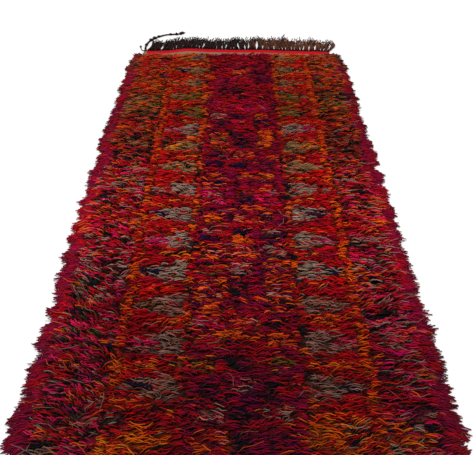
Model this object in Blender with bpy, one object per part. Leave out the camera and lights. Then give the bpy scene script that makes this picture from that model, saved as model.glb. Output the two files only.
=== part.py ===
# Tulu rug: a long-pile wool rug lying flat, woven in one piece, with a knotted fringe at each end.
# X runs across the rug, Y along it, Z up. The origin is on the underside, in the middle of the rug.

import math

import bmesh
import bpy
from mathutils import Vector, noise

# Driving dimensions of the rug, in metres
PILE_WIDTH = 1.25
WEAVE_WIDTH = 1.12
PILE_LENGTH = 2.84
FLAT_END = 0.105
WEAVE_THICKNESS = 0.004
PILE_HEIGHT = 0.038
RIM_HEIGHT = 0.024
END_HEIGHT = 0.014
LUMP_HEIGHT = 0.010

# The pile rises to its full height over these distances from its sides and ends
SIDE_SLOPE = 0.11
END_SLOPE = 0.07
END_STEP = 0.003

# The slab is cut into cells. One lock of yarn leaves the rim at each end of a row of cells
COLUMNS = 32
ROWS = 84
SIDE_INSET = 0.052
LOCK_LENGTH = 0.057
EDGE_ROWS = 2
LAST_PILE_ROW = EDGE_ROWS + ROWS
ALL_ROWS = LAST_PILE_ROW + EDGE_ROWS

# Exponents: how close to the rim the wavy sides, the slanting ends and the narrowed corners begin
SIDE_PULL = 3
END_PULL = 6
CORNER_PULL = 40

# A lock of yarn at the rim. Reach and sweep are shares of the lock's own, height one of the rim's
LOCK_RINGS = (
    {"reach": 0.55, "sweep": 0.4, "width": 0.021, "height": 0.75},
    {"reach": 1.00, "sweep": 1.0, "width": 0.011, "height": 0.34},
)

# The fringe has two tassels to each column of the slab, on a narrow twined edge
TASSELS = 2 * COLUMNS
TASSEL_LENGTH = 0.158
EDGE_DEPTH = 0.009
EDGE_HEIGHT = 0.007
GAP = 0.0005
CORNER_SHORTER = 0.22
RIGHT_FAN = 0.034
LEFT_LEAN = 0.018

# A tassel: its neck, its knot and its cut ends. Reach is a share of its length
TASSEL_RINGS = (
    {"reach": 0.10, "width": 0.0115, "height": 0.011},
    {"reach": 0.80, "width": 0.0135, "height": 0.013},
    {"reach": 1.00, "width": 0.0060, "height": 0.006},
)

# The long loose braid at the far left corner, from its root: it lies out, then bends over to the right.
# Its end turns out again
BRAID_WIDTH = 0.010
BRAID_HEIGHT = 0.0085
BRAID_ROUTE = (
    {"across": -0.006, "out": 0.050},
    {"across": -0.004, "out": 0.100},
    {"across": 0.008, "out": 0.150},
    {"across": 0.030, "out": 0.193},
    {"across": 0.059, "out": 0.228},
    {"across": 0.093, "out": 0.254},
    {"across": 0.130, "out": 0.267},
    {"across": 0.168, "out": 0.271},
    {"across": 0.198, "out": 0.282},
    {"across": 0.214, "out": 0.308},
)

# A short loose strand that pokes out to the left beside it
STRAND_WIDTH = 0.006
STRAND_HEIGHT = 0.0055
STRAND_ROUTE = (
    {"across": -0.013, "out": 0.010},
    {"across": -0.024, "out": 0.042},
    {"across": -0.031, "out": 0.086},
)

# Smooth noise: waves to the metre across and along the rug, how far it moves things, and its own layer
UNEVENNESS = {
    "swells": {"across": 5, "along": 7, "size": 0.5 * LUMP_HEIGHT, "layer": 7.3},
    "tufts": {"across": 17, "along": 29, "size": 1.5 * LUMP_HEIGHT, "layer": 14.6},
    "lock length": {"across": 1, "along": 13, "size": 0.027, "layer": 21.9},
    "lock sweep": {"across": 1, "along": 21, "size": 0.010, "layer": 29.2},
    "tassel lean": {"across": 5, "along": 1, "size": 0.016, "layer": 36.5},
    "tassel length": {"across": 31, "along": 1, "size": 0.037, "layer": 43.8},
}

# How far the sides of the pile stand in or out of a straight line
SIDE_OUT = (
    {"along": -1.50, "left": -0.012, "right": -0.010},
    {"along": -1.20, "left": 0.002, "right": 0.000},
    {"along": -0.75, "left": -0.003, "right": 0.003},
    {"along": -0.20, "left": 0.008, "right": 0.005},
    {"along": 0.20, "left": 0.003, "right": -0.002},
    {"along": 0.42, "left": 0.017, "right": 0.004},
    {"along": 0.62, "left": -0.002, "right": -0.006},
    {"along": 1.10, "left": 0.000, "right": 0.006},
    {"along": 1.28, "left": -0.008, "right": -0.003},
    {"along": 1.44, "left": -0.028, "right": -0.022},
)

# How far the ends of the pile stand out of a straight line
END_OUT = (
    {"across": -0.60, "far": -0.020, "near": 0.006},
    {"across": -0.45, "far": -0.014, "near": 0.000},
    {"across": -0.29, "far": 0.024, "near": -0.008},
    {"across": -0.15, "far": 0.008, "near": -0.004},
    {"across": 0.00, "far": 0.001, "near": 0.005},
    {"across": 0.15, "far": 0.000, "near": 0.007},
    {"across": 0.30, "far": -0.014, "near": 0.000},
    {"across": 0.45, "far": -0.022, "near": -0.006},
    {"across": 0.60, "far": -0.036, "near": -0.010},
)

# The two ends of the rug, by the way that Y runs there
ENDS = {"far": 1, "near": -1}


def smooth_table(rows, key, column, at):
    """A smooth curve through one column of a table of rows."""
    if at <= rows[0][key]:
        return rows[0][column]
    for low, high in zip(rows, rows[1:]):
        if at <= high[key]:
            share = (at - low[key]) / (high[key] - low[key])
            share = share * share * (3 - 2 * share)
            return low[column] + (high[column] - low[column]) * share
    return rows[-1][column]


def unevenness(kind, x, y):
    """Smooth noise about zero at a place on the floor."""
    row = UNEVENNESS[kind]
    return row["size"] * noise.noise(Vector((x * row["across"], y * row["along"], row["layer"])))


def end_place(across_share, out, end):
    """Place on the floor at a distance out from an end of the pile, on a line straight from column to column."""
    place = (across_share + 1) / 2 * COLUMNS
    low = min(max(math.floor(place), 0), COLUMNS - 1)
    stations = [(2 * number / COLUMNS - 1) * WEAVE_WIDTH / 2 for number in (low, low + 1)]
    first, second = (smooth_table(END_OUT, "across", end, station) for station in stations)
    end_line = first + (second - first) * (place - low)
    return across_share * WEAVE_WIDTH / 2, ENDS[end] * (PILE_LENGTH / 2 + end_line + out)


def pile_place(across_share, along_share):
    """Place on the floor of a point of the pile, with sides and ends as uneven as the real rug's."""
    end = "far" if along_share > 0 else "near"
    y = along_share * PILE_LENGTH / 2
    side_out = smooth_table(SIDE_OUT, "along", "left" if across_share < 0 else "right", y)
    half = PILE_WIDTH / 2 - SIDE_INSET + side_out * abs(across_share) ** SIDE_PULL
    half += (WEAVE_WIDTH / 2 - half) * abs(along_share) ** CORNER_PULL
    end_y = end_place(across_share, 0, end)[1]
    y += (end_y - ENDS[end] * PILE_LENGTH / 2) * abs(along_share) ** END_PULL
    return across_share * half, y


def pile_top(across_share, along_share):
    """Height of the pile: lumps of yarn that lie across the rug, lower at the sides and ends."""
    x = across_share * PILE_WIDTH / 2
    y = along_share * PILE_LENGTH / 2
    from_side = (1 - abs(across_share)) * PILE_WIDTH / 2
    from_end = (1 - abs(along_share)) * PILE_LENGTH / 2
    side = math.sin(min(from_side / SIDE_SLOPE, 1) * math.pi / 2)
    end = math.sin(min(from_end / END_SLOPE, 1) * math.pi / 2)
    height = RIM_HEIGHT + (PILE_HEIGHT - RIM_HEIGHT) * side
    height = END_HEIGHT + (height - END_HEIGHT) * end
    lumps = unevenness("swells", x, y) + unevenness("tufts", x, y)
    return height + lumps * (1 + 2 * min(side, end)) / 3


def rug_point(across_share, row):
    """Top point of the rug at a row of its cells: the first and last rows are the flat-woven ends."""
    if EDGE_ROWS <= row <= LAST_PILE_ROW:
        along_share = 2 * (row - EDGE_ROWS) / ROWS - 1
        x, y = pile_place(across_share, along_share)
        return Vector((x, y, pile_top(across_share, along_share)))
    out = FLAT_END if row in (0, ALL_ROWS) else END_STEP
    x, y = end_place(across_share, out, "near" if row < EDGE_ROWS else "far")
    return Vector((x, y, WEAVE_THICKNESS))


def wool_material(name, colour, roughness):
    material = bpy.data.materials.new(name)
    material.use_nodes = True
    shader = material.node_tree.nodes["Principled BSDF"]
    shader.inputs["Base Color"].default_value = (*colour, 1.0)
    shader.inputs["Roughness"].default_value = roughness
    shader.inputs["Metallic"].default_value = 0.0
    return material


def add_part(name, bm, collection, material):
    """Turns a bmesh into one named object of the rug."""
    bmesh.ops.recalc_face_normals(bm, faces=bm.faces)
    mesh = bpy.data.meshes.new(name)
    bm.to_mesh(mesh)
    bm.free()
    mesh.materials.append(material)
    mesh.set_sharp_from_angle(angle=math.radians(50))
    part = bpy.data.objects.new(name, mesh)
    collection.objects.link(part)
    return part


def flat_block(columns, rows):
    """A block of cells, 2 by 2 across and 1 high, with its lowest face in one piece."""
    bm = bmesh.new()
    bmesh.ops.create_grid(bm, x_segments=columns, y_segments=rows, size=1.0)
    under = list(bm.faces)
    top = bmesh.ops.extrude_face_region(bm, geom=under, use_keep_orig=True)
    for vertex in (item for item in top["geom"] if isinstance(item, bmesh.types.BMVert)):
        vertex.co.z = 1.0
    bmesh.ops.dissolve_faces(bm, faces=under)
    bmesh.ops.recalc_face_normals(bm, faces=bm.faces)
    return bm


def grow_strand(bm, root, rings):
    """Draws a strand of yarn out of a face, a four-sided tube that lies on the floor.

    Each ring has its middle on the floor, the direction of the strand there, its width and its height.
    """
    middle = root.calc_center_median()
    beside = Vector((-root.normal.y, root.normal.x, 0)).normalized()
    face = root
    for ring in rings:
        face = bmesh.ops.extrude_discrete_faces(bm, faces=[face])["faces"][0]
        next_beside = Vector((-ring["direction"].y, ring["direction"].x, 0)).normalized()
        on_floor = ring["middle"].to_3d()
        for vertex in face.verts:
            side = 1 if (vertex.co - middle).dot(beside) > 0 else -1
            up = Vector((0, 0, ring["height"] if vertex.co.z > middle.z else 0))
            vertex.co = on_floor + next_beside * side * ring["width"] / 2 + up
        middle = on_floor + Vector((0, 0, ring["height"] / 2))
        beside = next_beside


def lock_rings(root):
    """A lock of yarn that lies out from the rim, with its root's height, drooping to the floor."""
    place = root.calc_center_median().to_2d()
    side = Vector((math.copysign(1, place.x), 0))
    length = LOCK_LENGTH + unevenness("lock length", *place)
    sweep = unevenness("lock sweep", *place)
    height = max(vertex.co.z for vertex in root.verts)
    rings = []
    for row in LOCK_RINGS:
        middle = place + side * length * row["reach"] + Vector((0, sweep * row["sweep"]))
        rings.append({
            "middle": middle,
            "direction": side,
            "width": row["width"],
            "height": height * row["height"],
        })
    return rings


def tassel_rings(root, end):
    """A knotted tassel. Those at the corners are shorter and lean to the right."""
    place = root.calc_center_median().to_2d()
    share = place.x / (WEAVE_WIDTH / 2)
    lean = unevenness("tassel lean", *place) + (RIGHT_FAN if share > 0 else LEFT_LEAN) * abs(share) ** 5
    length = TASSEL_LENGTH + unevenness("tassel length", *place)
    length *= 1 - CORNER_SHORTER * abs(share) ** 6
    tip = Vector((lean, ENDS[end] * length))
    rings = []
    for row in TASSEL_RINGS:
        rings.append({
            "middle": place + tip * row["reach"],
            "direction": tip,
            "width": row["width"],
            "height": row["height"],
        })
    return rings


def loose_rings(root, route, width, height):
    """A loose strand along a route from its root. Its last ring, the cut end, is thinner."""
    place = root.calc_center_median().to_2d()
    points = [place] + [place + Vector((row["across"], row["out"])) for row in route]
    rings = []
    for number in range(1, len(points)):
        after = points[min(number + 1, len(route))]
        thickness = 0.6 if number == len(route) else 1.0
        rings.append({
            "middle": points[number],
            "direction": after - points[number - 1],
            "width": width * thickness,
            "height": height * thickness,
        })
    return rings


def build_rug(collection, material):
    """The rug in one piece: a lumpy slab of pile with locks lying out along both sides, and two flat ends."""
    bm = flat_block(COLUMNS, ALL_ROWS)
    rim = []
    for face in bm.faces:
        middle = face.calc_center_median()
        row = (middle.y + 1) / 2 * ALL_ROWS
        if abs(face.normal.x) > 0.9 and EDGE_ROWS < row < LAST_PILE_ROW:
            rim.append(face)
    for vertex in bm.verts:
        is_top = vertex.co.z > 0.5
        vertex.co = rug_point(vertex.co.x, round((vertex.co.y + 1) / 2 * ALL_ROWS))
        if not is_top:
            vertex.co.z = 0.0
    bm.normal_update()
    for face in rim:
        grow_strand(bm, face, lock_rings(face))
    under = [face for face in bm.faces if len(face.verts) > 4]
    bmesh.ops.triangulate(bm, faces=under, ngon_method="BEAUTY")
    return add_part("rug", bm, collection, material)


def build_fringe(end, collection, material):
    """The knotted fringe of one end: tassels that lie on the floor, fused into the narrow twined edge."""
    bm = flat_block(TASSELS, 1)
    for vertex in bm.verts:
        is_outer = vertex.co.y * ENDS[end] > 0
        x, y = end_place(vertex.co.x, FLAT_END + (EDGE_DEPTH if is_outer else GAP), end)
        vertex.co = Vector((x, y, vertex.co.z * EDGE_HEIGHT))
    bm.normal_update()
    outer_faces = [face for face in bm.faces if face.normal.y * ENDS[end] > 0.7]
    outer_faces.sort(key=lambda face: face.calc_center_median().x)
    left_face = min(bm.faces, key=lambda face: face.normal.x)
    if end == "far":
        grow_strand(bm, left_face, loose_rings(left_face, STRAND_ROUTE, STRAND_WIDTH, STRAND_HEIGHT))
        corner_face = outer_faces.pop(0)
        grow_strand(bm, corner_face, loose_rings(corner_face, BRAID_ROUTE, BRAID_WIDTH, BRAID_HEIGHT))
    for face in outer_faces:
        grow_strand(bm, face, tassel_rings(face, end))
    return add_part(f"fringe_{end}", bm, collection, material)


def main():
    for leftover in list(bpy.data.objects):
        bpy.data.objects.remove(leftover)
    collection = bpy.data.collections.new("tulu_rug")
    bpy.context.scene.collection.children.link(collection)
    pile_wool = wool_material("pile_wool", (0.19, 0.006, 0.016), 0.95)
    fringe_wool = wool_material("fringe_wool", (0.032, 0.014, 0.011), 0.9)
    build_rug(collection, pile_wool)
    for end in ENDS:
        build_fringe(end, collection, fringe_wool)


main()
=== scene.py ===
import math
from functools import partial

import bmesh
import bpy
import numpy as np
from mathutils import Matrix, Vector, noise


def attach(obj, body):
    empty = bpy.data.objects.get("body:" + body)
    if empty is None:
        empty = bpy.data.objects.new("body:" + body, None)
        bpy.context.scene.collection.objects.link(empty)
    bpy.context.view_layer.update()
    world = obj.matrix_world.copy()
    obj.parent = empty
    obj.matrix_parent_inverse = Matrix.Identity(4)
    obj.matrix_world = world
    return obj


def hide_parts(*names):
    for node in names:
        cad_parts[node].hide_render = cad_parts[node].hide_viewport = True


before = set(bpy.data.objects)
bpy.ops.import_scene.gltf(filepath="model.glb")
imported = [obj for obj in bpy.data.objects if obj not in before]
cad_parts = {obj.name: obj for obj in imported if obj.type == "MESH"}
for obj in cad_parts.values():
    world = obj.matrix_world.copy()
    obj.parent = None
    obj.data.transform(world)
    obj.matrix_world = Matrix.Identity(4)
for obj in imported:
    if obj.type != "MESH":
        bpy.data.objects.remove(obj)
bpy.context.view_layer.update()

# Driving sizes of the rug in metres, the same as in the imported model. X runs across, Y along, Z up
rug = {
    "pileWidth": 1.25,
    "weaveWidth": 1.12,
    "pileLength": 2.84,
    "flatEnd": 0.105,
    "pileHeight": 0.038,
    "rimHeight": 0.024,
    "endHeight": 0.014,
    "lumpHeight": 0.010,
    "tuftShare": 0.35,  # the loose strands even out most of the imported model's tufts
    "sideSlope": 0.11,
    "endSlope": 0.07,
    "sideInset": 0.052,
    "highest": 0.057,  # no strand rises over this
}
halfWidth = rug["pileWidth"] / 2
halfLength = rug["pileLength"] / 2
halfWeave = rug["weaveWidth"] / 2
ends = {"far": 1, "near": -1}


def table(columns, *rows):  # rows of values, each under the names of its columns
    return tuple(dict(zip(columns.split(), row)) for row in rows)


def namedTable(columns, **rows):
    return dict(zip(rows, table(columns, *rows.values())))


# How far the sides and the ends of the pile stand out of a straight line
sideOut = table(
    "along left right",
    (-1.50, -0.012, -0.010), (-1.20, 0.002, 0.000), (-0.75, -0.003, 0.003),
    (-0.20, 0.008, 0.005), (0.20, 0.003, -0.002), (0.42, 0.017, 0.004),
    (0.62, -0.002, -0.006), (1.10, 0.000, 0.006), (1.28, -0.008, -0.003),
    (1.44, -0.028, -0.022),
)
endOut = table(
    "across far near",
    (-0.60, -0.020, 0.006), (-0.45, -0.014, 0.000), (-0.29, 0.024, -0.008),
    (-0.15, 0.008, -0.004), (0.00, 0.001, 0.005), (0.15, 0.000, 0.007),
    (0.30, -0.014, 0.000), (0.45, -0.022, -0.006), (0.60, -0.036, -0.010),
)

# Smooth noise: waves to the metre across and along, how far it moves things, and its own layer
unevenKinds = {
    "swells": (5, 7, 0.5 * rug["lumpHeight"], 7.3),
    "tufts": (17, 29, 1.5 * rug["lumpHeight"], 14.6),
    "tasselLean": (5, 1, 0.016, 36.5),
    "tasselLength": (31, 1, 0.037, 43.8),
    "lay": (7, 9, 1.0, 51.1),
    "parting": (4, 6, 1.0, 58.4),
    "fullness": (13, 17, 1.0, 65.7),
    "edgeDrift": (3, 13, 0.018, 73.0),
    "edgeTufts": (1, 23, 1.0, 87.6),
    "bandDrift": (6, 4, 0.016, 80.3),
}


def smoothStep(low, high, at):
    share = min(max((at - low) / (high - low), 0), 1)
    return share * share * (3 - 2 * share)


def smoothTable(rows, key, column, at):
    for low, high in zip(rows, rows[1:]):
        if at <= high[key]:
            return low[column] + (high[column] - low[column]) * smoothStep(low[key], high[key], at)
    return rows[-1][column]


def uneven(kind, x, y):
    across, along, size, layer = unevenKinds[kind]
    return size * noise.noise(Vector((x * across, y * along, layer)))


def endAt(y):
    return "far" if y > 0 else "near"


def endLine(x, end):
    return smoothTable(endOut, "across", end, x)


def endDrift(across, along):  # how far a place in the pile moves along with its uneven end
    end = endAt(along)
    return endLine(across * halfWeave, end) * abs(along) ** 6 * ends[end]


def sideLine(x, y):
    return smoothTable(sideOut, "along", "left" if x < 0 else "right", y)


def pileTop(x, y):  # height of the pile over the floor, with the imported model's lumps
    across = min(abs(x) / (halfWidth - rug["sideInset"]), 1)
    along = min(abs(y) / halfLength, 1)
    side = math.sin(min((1 - across) * halfWidth / rug["sideSlope"], 1) * math.pi / 2)
    end = math.sin(min((1 - along) * halfLength / rug["endSlope"], 1) * math.pi / 2)
    height = rug["rimHeight"] + (rug["pileHeight"] - rug["rimHeight"]) * side
    height = rug["endHeight"] + (height - rug["endHeight"]) * end
    stretched = x * halfWidth / (halfWidth - rug["sideInset"])
    lumps = uneven("swells", stretched, y) + rug["tuftShare"] * uneven("tufts", stretched, y)
    return height + lumps * (1 + 2 * min(side, end)) / 3


def linear(red, green, blue):  # a colour as the eye reads it on a screen, in the renderer's own terms
    return np.array([(value / 255) ** 2.2 for value in (red, green, blue)])


# The dyed wools
yarns = {
    "crimson": linear(190, 4, 28),
    "scarlet": linear(214, 20, 6),
    "burgundy": linear(140, 2, 34),
    "plum": linear(142, 0, 60),
    "magenta": linear(204, 6, 92),
    "pink": linear(238, 28, 92),
    "orange": linear(242, 92, 6),
    "rust": linear(198, 58, 12),
    "amber": linear(236, 128, 16),
    "olive": linear(112, 98, 34),
    "tan": linear(160, 118, 76),
    "brown": linear(110, 62, 36),
    "ash": linear(154, 130, 114),
    "dusk": linear(156, 110, 96),
    "salmon": linear(222, 128, 104),
    "charcoal": linear(24, 29, 32),
    "navy": linear(24, 22, 54),
    "aubergine": linear(70, 4, 52),
    "warpDark": linear(50, 28, 24),
    "warpWarm": linear(106, 62, 42),
}

# Bands of pattern from the left side of the pile to the right, by their right-hand edge
bands = table(
    "to field",
    (-0.927, "border"), (-0.603, "guard"), (-0.553, "strip"), (-0.272, "side"),
    (-0.240, "line"), (0.316, "panel"), (0.346, "line"), (0.600, "side"),
    (0.654, "strip"), (0.927, "guard"), (9.000, "border"),
)

# The size of a band's patches of wool, how orderly they are, and the wools at its near and its far end
fields = namedTable(
    "patch order near far",
    border=(
        (0.30, 0.11), 0.50,
        dict(plum=8, crimson=4, magenta=0.7, burgundy=4),
        dict(plum=4, crimson=3, burgundy=6, rust=1, charcoal=1),
    ),
    strip=(
        (0.06, 0.024), 0.55,
        dict(orange=4, rust=1, crimson=4, scarlet=1),
        dict(orange=4, rust=2, scarlet=4),
    ),
    side=(
        (0.12, 0.026), 0.60,
        dict(crimson=8, scarlet=3, burgundy=3, charcoal=0.7, orange=0.6),
        dict(scarlet=7, rust=3, crimson=3, orange=2, brown=1.4, charcoal=1),
    ),
    line=(
        (0.20, 0.046), 0.92,
        dict(charcoal=2.2, orange=4, crimson=3.5),
        dict(charcoal=0.5, orange=3, rust=2, crimson=2),
    ),
    panel=(
        (0.12, 0.024), 0.55,
        dict(burgundy=4, crimson=6, plum=8, aubergine=0.7, charcoal=1.1, orange=0.7),
        dict(burgundy=4, crimson=6, plum=4, aubergine=1, charcoal=1.2, scarlet=2, orange=0.6),
    ),
    guard=((0.060, 0.0125), 0.60),
)

# The guards' cross stripes from the far end towards the viewer, each down to a place along the rug
guardStripes = table(
    "to wools",
    (1.08, dict(rust=5, orange=3, scarlet=4, brown=2, charcoal=2, tan=2, pink=1)),
    (0.86, dict(rust=5, orange=3, scarlet=3, charcoal=4, olive=2, brown=2)),
    (0.80, dict(charcoal=6, brown=3, rust=2)),
    (0.67, dict(olive=4, tan=2, orange=3, rust=3, charcoal=1)),
    (0.59, dict(charcoal=6, brown=3, rust=2, crimson=2)),
    (0.46, dict(rust=3, orange=3, crimson=4, charcoal=4)),
    (0.27, dict(brown=3, rust=3, crimson=4, charcoal=5, tan=1)),
    (0.17, dict(charcoal=7, crimson=4, rust=2, pink=1)),
    (0.06, dict(tan=2, charcoal=3, crimson=5, orange=2, pink=1)),
    (-0.12, dict(ash=2, charcoal=3, pink=2, crimson=6, orange=1, dusk=1)),
    (-0.23, dict(charcoal=5, ash=1, pink=2, crimson=5, orange=2)),
    (-0.34, dict(orange=4, crimson=6, charcoal=3, pink=2)),
    (-0.46, dict(charcoal=4, dusk=2, crimson=5, pink=2, ash=1)),
    (-9.0, dict(
        crimson=7, charcoal=6, dusk=3, ash=2, pink=4, orange=2, burgundy=3, magenta=1, olive=0.3, navy=0.7,
    )),
)

# The rows of stepped triangles beside the panel. Across runs from the panel's line outwards
sideMotif = {
    "pitch": 0.172,
    "last": 1.329,  # the middle of the row next to the far end
    "reach": 0.176,
    "rightShare": 0.93,
    "steps": table("to half", (0.40, 0.049), (0.63, 0.035), (0.86, 0.023), (1.00, 0.012)),
    "coreMiddle": 0.68,
    "coreReach": 0.24,
    "coreHalf": 0.014,
    "accentFrom": 0.05,
    "accentReach": 0.55,
    "accentHalf": 0.009,
}
motifRows = table(
    "wool core",
    ("tan", "olive"), ("tan", "navy"), ("tan", "scarlet"), ("olive", "tan"), ("olive", "navy"),
    ("ash", "magenta"), ("tan", "amber"), ("tan", "tan"), ("ash", "crimson"), ("ash", "aubergine"),
    ("ash", "magenta"), ("ash", "navy"), ("dusk", "brown"), ("dusk", "pink"), ("dusk", "navy"),
)
motifFlecks = dict(brown=2, dusk=2, crimson=2)

# Blends of wool in the panel's figures, how much of their column they fill, and what some have inside a rim
looks = namedTable(
    "fills wools rim inside",
    dark=(0.62, dict(charcoal=6, navy=1, plum=2, burgundy=1)),
    blue=(0.80, dict(navy=5, aubergine=3, charcoal=2)),
    shadow=(0.90, dict(aubergine=4, burgundy=5, plum=2)),
    embers=(1.05, dict(orange=3, crimson=3, rust=2, salmon=1, plum=1)),
    rose=(1.20, dict(crimson=5, scarlet=3, magenta=3, plum=2, pink=1)),
    pink=(1.10, dict(pink=3, crimson=4, ash=1, magenta=1)),
    pale=(0.85, dict(ash=2, dusk=3, salmon=1, crimson=3, plum=2)),
    orange=(0.80, dict(orange=7, rust=2, amber=1)),
    moss=(0.75, dict(olive=5, brown=2, amber=1, crimson=1)),
    frame=(1.00, dict(orange=7, rust=2), 0.019, dict(ash=1, salmon=1, aubergine=3, crimson=2)),
    ring=(0.60, dict(orange=4, olive=1), 0.014, dict(navy=2, magenta=1, charcoal=1)),
    rungs=(1.00, ("orange", "navy", "crimson", "olive", "crimson")),
)
rungPitch = 0.021

# The panel's rows of figures from the far end towards the viewer, with up to three figures side by side
panelColumns = namedTable("x wide", left=(-0.088, 0.098), middle=(0.022, 0.092), right=(0.130, 0.092))
panelRows = table(
    "y deep left middle right",
    (1.110, 0.090, None, "embers", "shadow"),
    (1.020, 0.080, None, "rose", "shadow"),
    (0.892, 0.100, None, "dark", None),
    (0.806, 0.026, None, "blue", None),
    (0.705, 0.120, "rose", "rose", "rose"),
    (0.604, 0.036, "pale", "blue", "orange"),
    (0.550, 0.040, "dark", "rose", "blue"),
    (0.405, 0.080, "rungs", "dark", "orange"),
    (0.325, 0.064, "rungs", "dark", "orange"),
    (0.233, 0.052, "dark", "embers", None),
    (0.148, 0.056, "blue", "blue", "dark"),
    (0.056, 0.048, "orange", "orange", "orange"),
    (0.004, 0.024, "blue", None, "blue"),
    (-0.110, 0.098, "pink", "dark", "pink"),
    (-0.250, 0.058, "orange", "embers", "ring"),
    (-0.335, 0.036, "pale", "blue", "pale"),
    (-0.386, 0.044, "blue", "orange", "blue"),
    (-0.455, 0.084, "frame", "embers", "pale"),
    (-0.548, 0.064, "rungs", "pale", "ring"),
    (-0.594, 0.024, None, "dark", None),
    (-0.666, 0.108, "frame", "dark", "frame"),
    (-0.757, 0.028, "orange", None, "orange"),
    (-0.822, 0.062, "pink", "embers", "dark"),
    (-0.892, 0.046, "rungs", "rungs", "frame"),
    (-0.995, 0.040, "moss", "dark", "moss"),
    (-1.078, 0.032, "dark", "pale", "dark"),
    (-1.175, 0.052, "pale", "dark", "pale"),
    (-1.255, 0.070, "embers", "dark", "shadow"),
    (-1.350, 0.060, "frame", "dark", "frame"),
)

# Clusters of orange in the side bands: round flowers at the near end, loose ones at the far end
flowers = table(
    "x y radius eye",
    (-0.350, -1.200, 0.030, 0.030), (-0.270, -1.262, 0.048, 0.000), (-0.352, -1.275, 0.036, 0.000),
    (-0.205, -1.250, 0.028, 0.000), (0.228, -1.232, 0.054, 0.000), (0.318, -1.245, 0.056, 0.032),
    (0.440, -1.225, 0.030, 0.012), (0.500, -1.260, 0.034, 0.014), (-0.255, -1.385, 0.042, 0.016),
    (0.262, -1.380, 0.042, 0.016), (-0.300, 1.365, 0.045, 0.000), (0.300, 1.352, 0.045, 0.000),
)
flowerEye = dict(crimson=2, charcoal=2, ash=1)
flowerPetals = dict(orange=7, amber=2, rust=1)

# The borders turn dark at the far end
borderEnd = {
    "from": 1.20,
    "share": 0.85,
    "wools": dict(charcoal=4, brown=3, rust=3, crimson=2, tan=1),
}


def patchValue(x, y, width, height, layer):  # one value from 0 to 1 for each ragged patch
    drift = uneven("bandDrift", x, y)
    return 0.5 + 0.5 * noise.cell(Vector(((x + 2 * drift) / width + 50, (y + drift) / height + 90, layer)))


def pickWool(shares, value):
    target = value * sum(shares.values())
    for name, share in shares.items():
        target -= share
        if target < 0:
            return name
    return name


def bandAt(x, y):  # the band of the pattern at a place, by its number from the left
    share = (x - sideLine(x, y) * min(abs(x) / halfWidth, 1) ** 3 * math.copysign(1, x)) / halfWidth
    share += uneven("edgeDrift", x, y)
    return next(number for number, band in enumerate(bands) if share < band["to"])


def motifPlace(x, y):  # the row of the side motif, and a place's distance from its middle and the panel
    left = x < 0
    edge = bands[3 if left else 6]["to"] * halfWidth
    reach = sideMotif["reach"] * (1 if left else sideMotif["rightShare"])
    row = round((sideMotif["last"] - y) / sideMotif["pitch"])
    return row, abs(sideMotif["last"] - row * sideMotif["pitch"] - y), abs(x - edge) / reach


def inMotif(x, y):
    row, offset, across = motifPlace(x, y)
    if row >= len(motifRows):
        return False
    return any(across <= step["to"] and offset < step["half"] for step in sideMotif["steps"])


def figureAt(x, y):  # the look of the panel's figure at a place, and how far inside and how high up it is
    for number, row in enumerate(panelRows):
        height = y - row["y"]
        for column, place in panelColumns.items():
            if not row[column] or abs(height) > row["deep"] / 2:
                continue
            shift = 0.015 * noise.cell(Vector((number + 0.5, place["x"] * 100, 17.5)))
            half = place["wide"] / 2 * looks[row[column]]["fills"]
            inside = min(half - abs(x - place["x"] - shift), row["deep"] / 2 - abs(height))
            if inside > 0:
                return row[column], inside, height
    return None, 0, 0


def zoneAt(x, y):  # strands don't cross from one zone to another
    band = bandAt(x, y)
    field = bands[band]["field"]
    return band, field == "side" and inMotif(x, y), field == "panel" and figureAt(x, y)[0]


def groundWool(field, x, y, dice):
    look = fields[field]
    if field == "guard":
        shares = next(
            stripe["wools"] for stripe in guardStripes
            if y + dice.normal(0, 0.03) > stripe["to"]
        )
    else:
        far = smoothStep(-0.10, 0.90, y + 0.15 * dice.random())
        shares = look["far" if dice.random() < far else "near"]
    value = patchValue(x, y, *look["patch"], len(field)) if dice.random() < look["order"] else dice.random()
    return pickWool(shares, value)


def sideWool(x, y, dice):
    row, offset, across = motifPlace(x, y)
    if inMotif(x, y):
        motif = motifRows[row]
        fromCore = abs(across - sideMotif["coreMiddle"]) / sideMotif["coreReach"]
        if fromCore < 1 and offset < sideMotif["coreHalf"] * (1.25 - fromCore) and dice.random() < 0.9:
            return motif["core"]
        if dice.random() < 0.90:
            return motif["wool"] if dice.random() < 0.80 else pickWool(motifFlecks, dice.random())
        return None
    fromGap = sideMotif["pitch"] / 2 - offset
    inReach = sideMotif["accentFrom"] < across < sideMotif["accentReach"]
    if fromGap < sideMotif["accentHalf"] and inReach and dice.random() < 0.55:
        return "charcoal" if dice.random() < 0.28 else "amber" if row % 3 else "orange"
    return None


def panelWool(x, y, dice):
    name, inside, height = figureAt(x, y)
    if not name or dice.random() < 0.22:
        return None
    look = looks[name]
    if name == "rungs":
        return look["wools"][math.floor(height / rungPitch) % len(look["wools"])]
    if "rim" in look and inside > look["rim"]:
        return pickWool(look["inside"], dice.random())
    return pickWool(look["wools"], dice.random())


def flowerWool(x, y, dice):
    for flower in flowers:
        away = math.hypot(x - flower["x"], y - flower["y"]) - dice.normal(0, 0.012)
        if away < flower["eye"]:
            return pickWool(flowerEye, dice.random())
        if away < flower["radius"] and dice.random() < 0.90:
            return pickWool(flowerPetals, dice.random())
    return None


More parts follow.
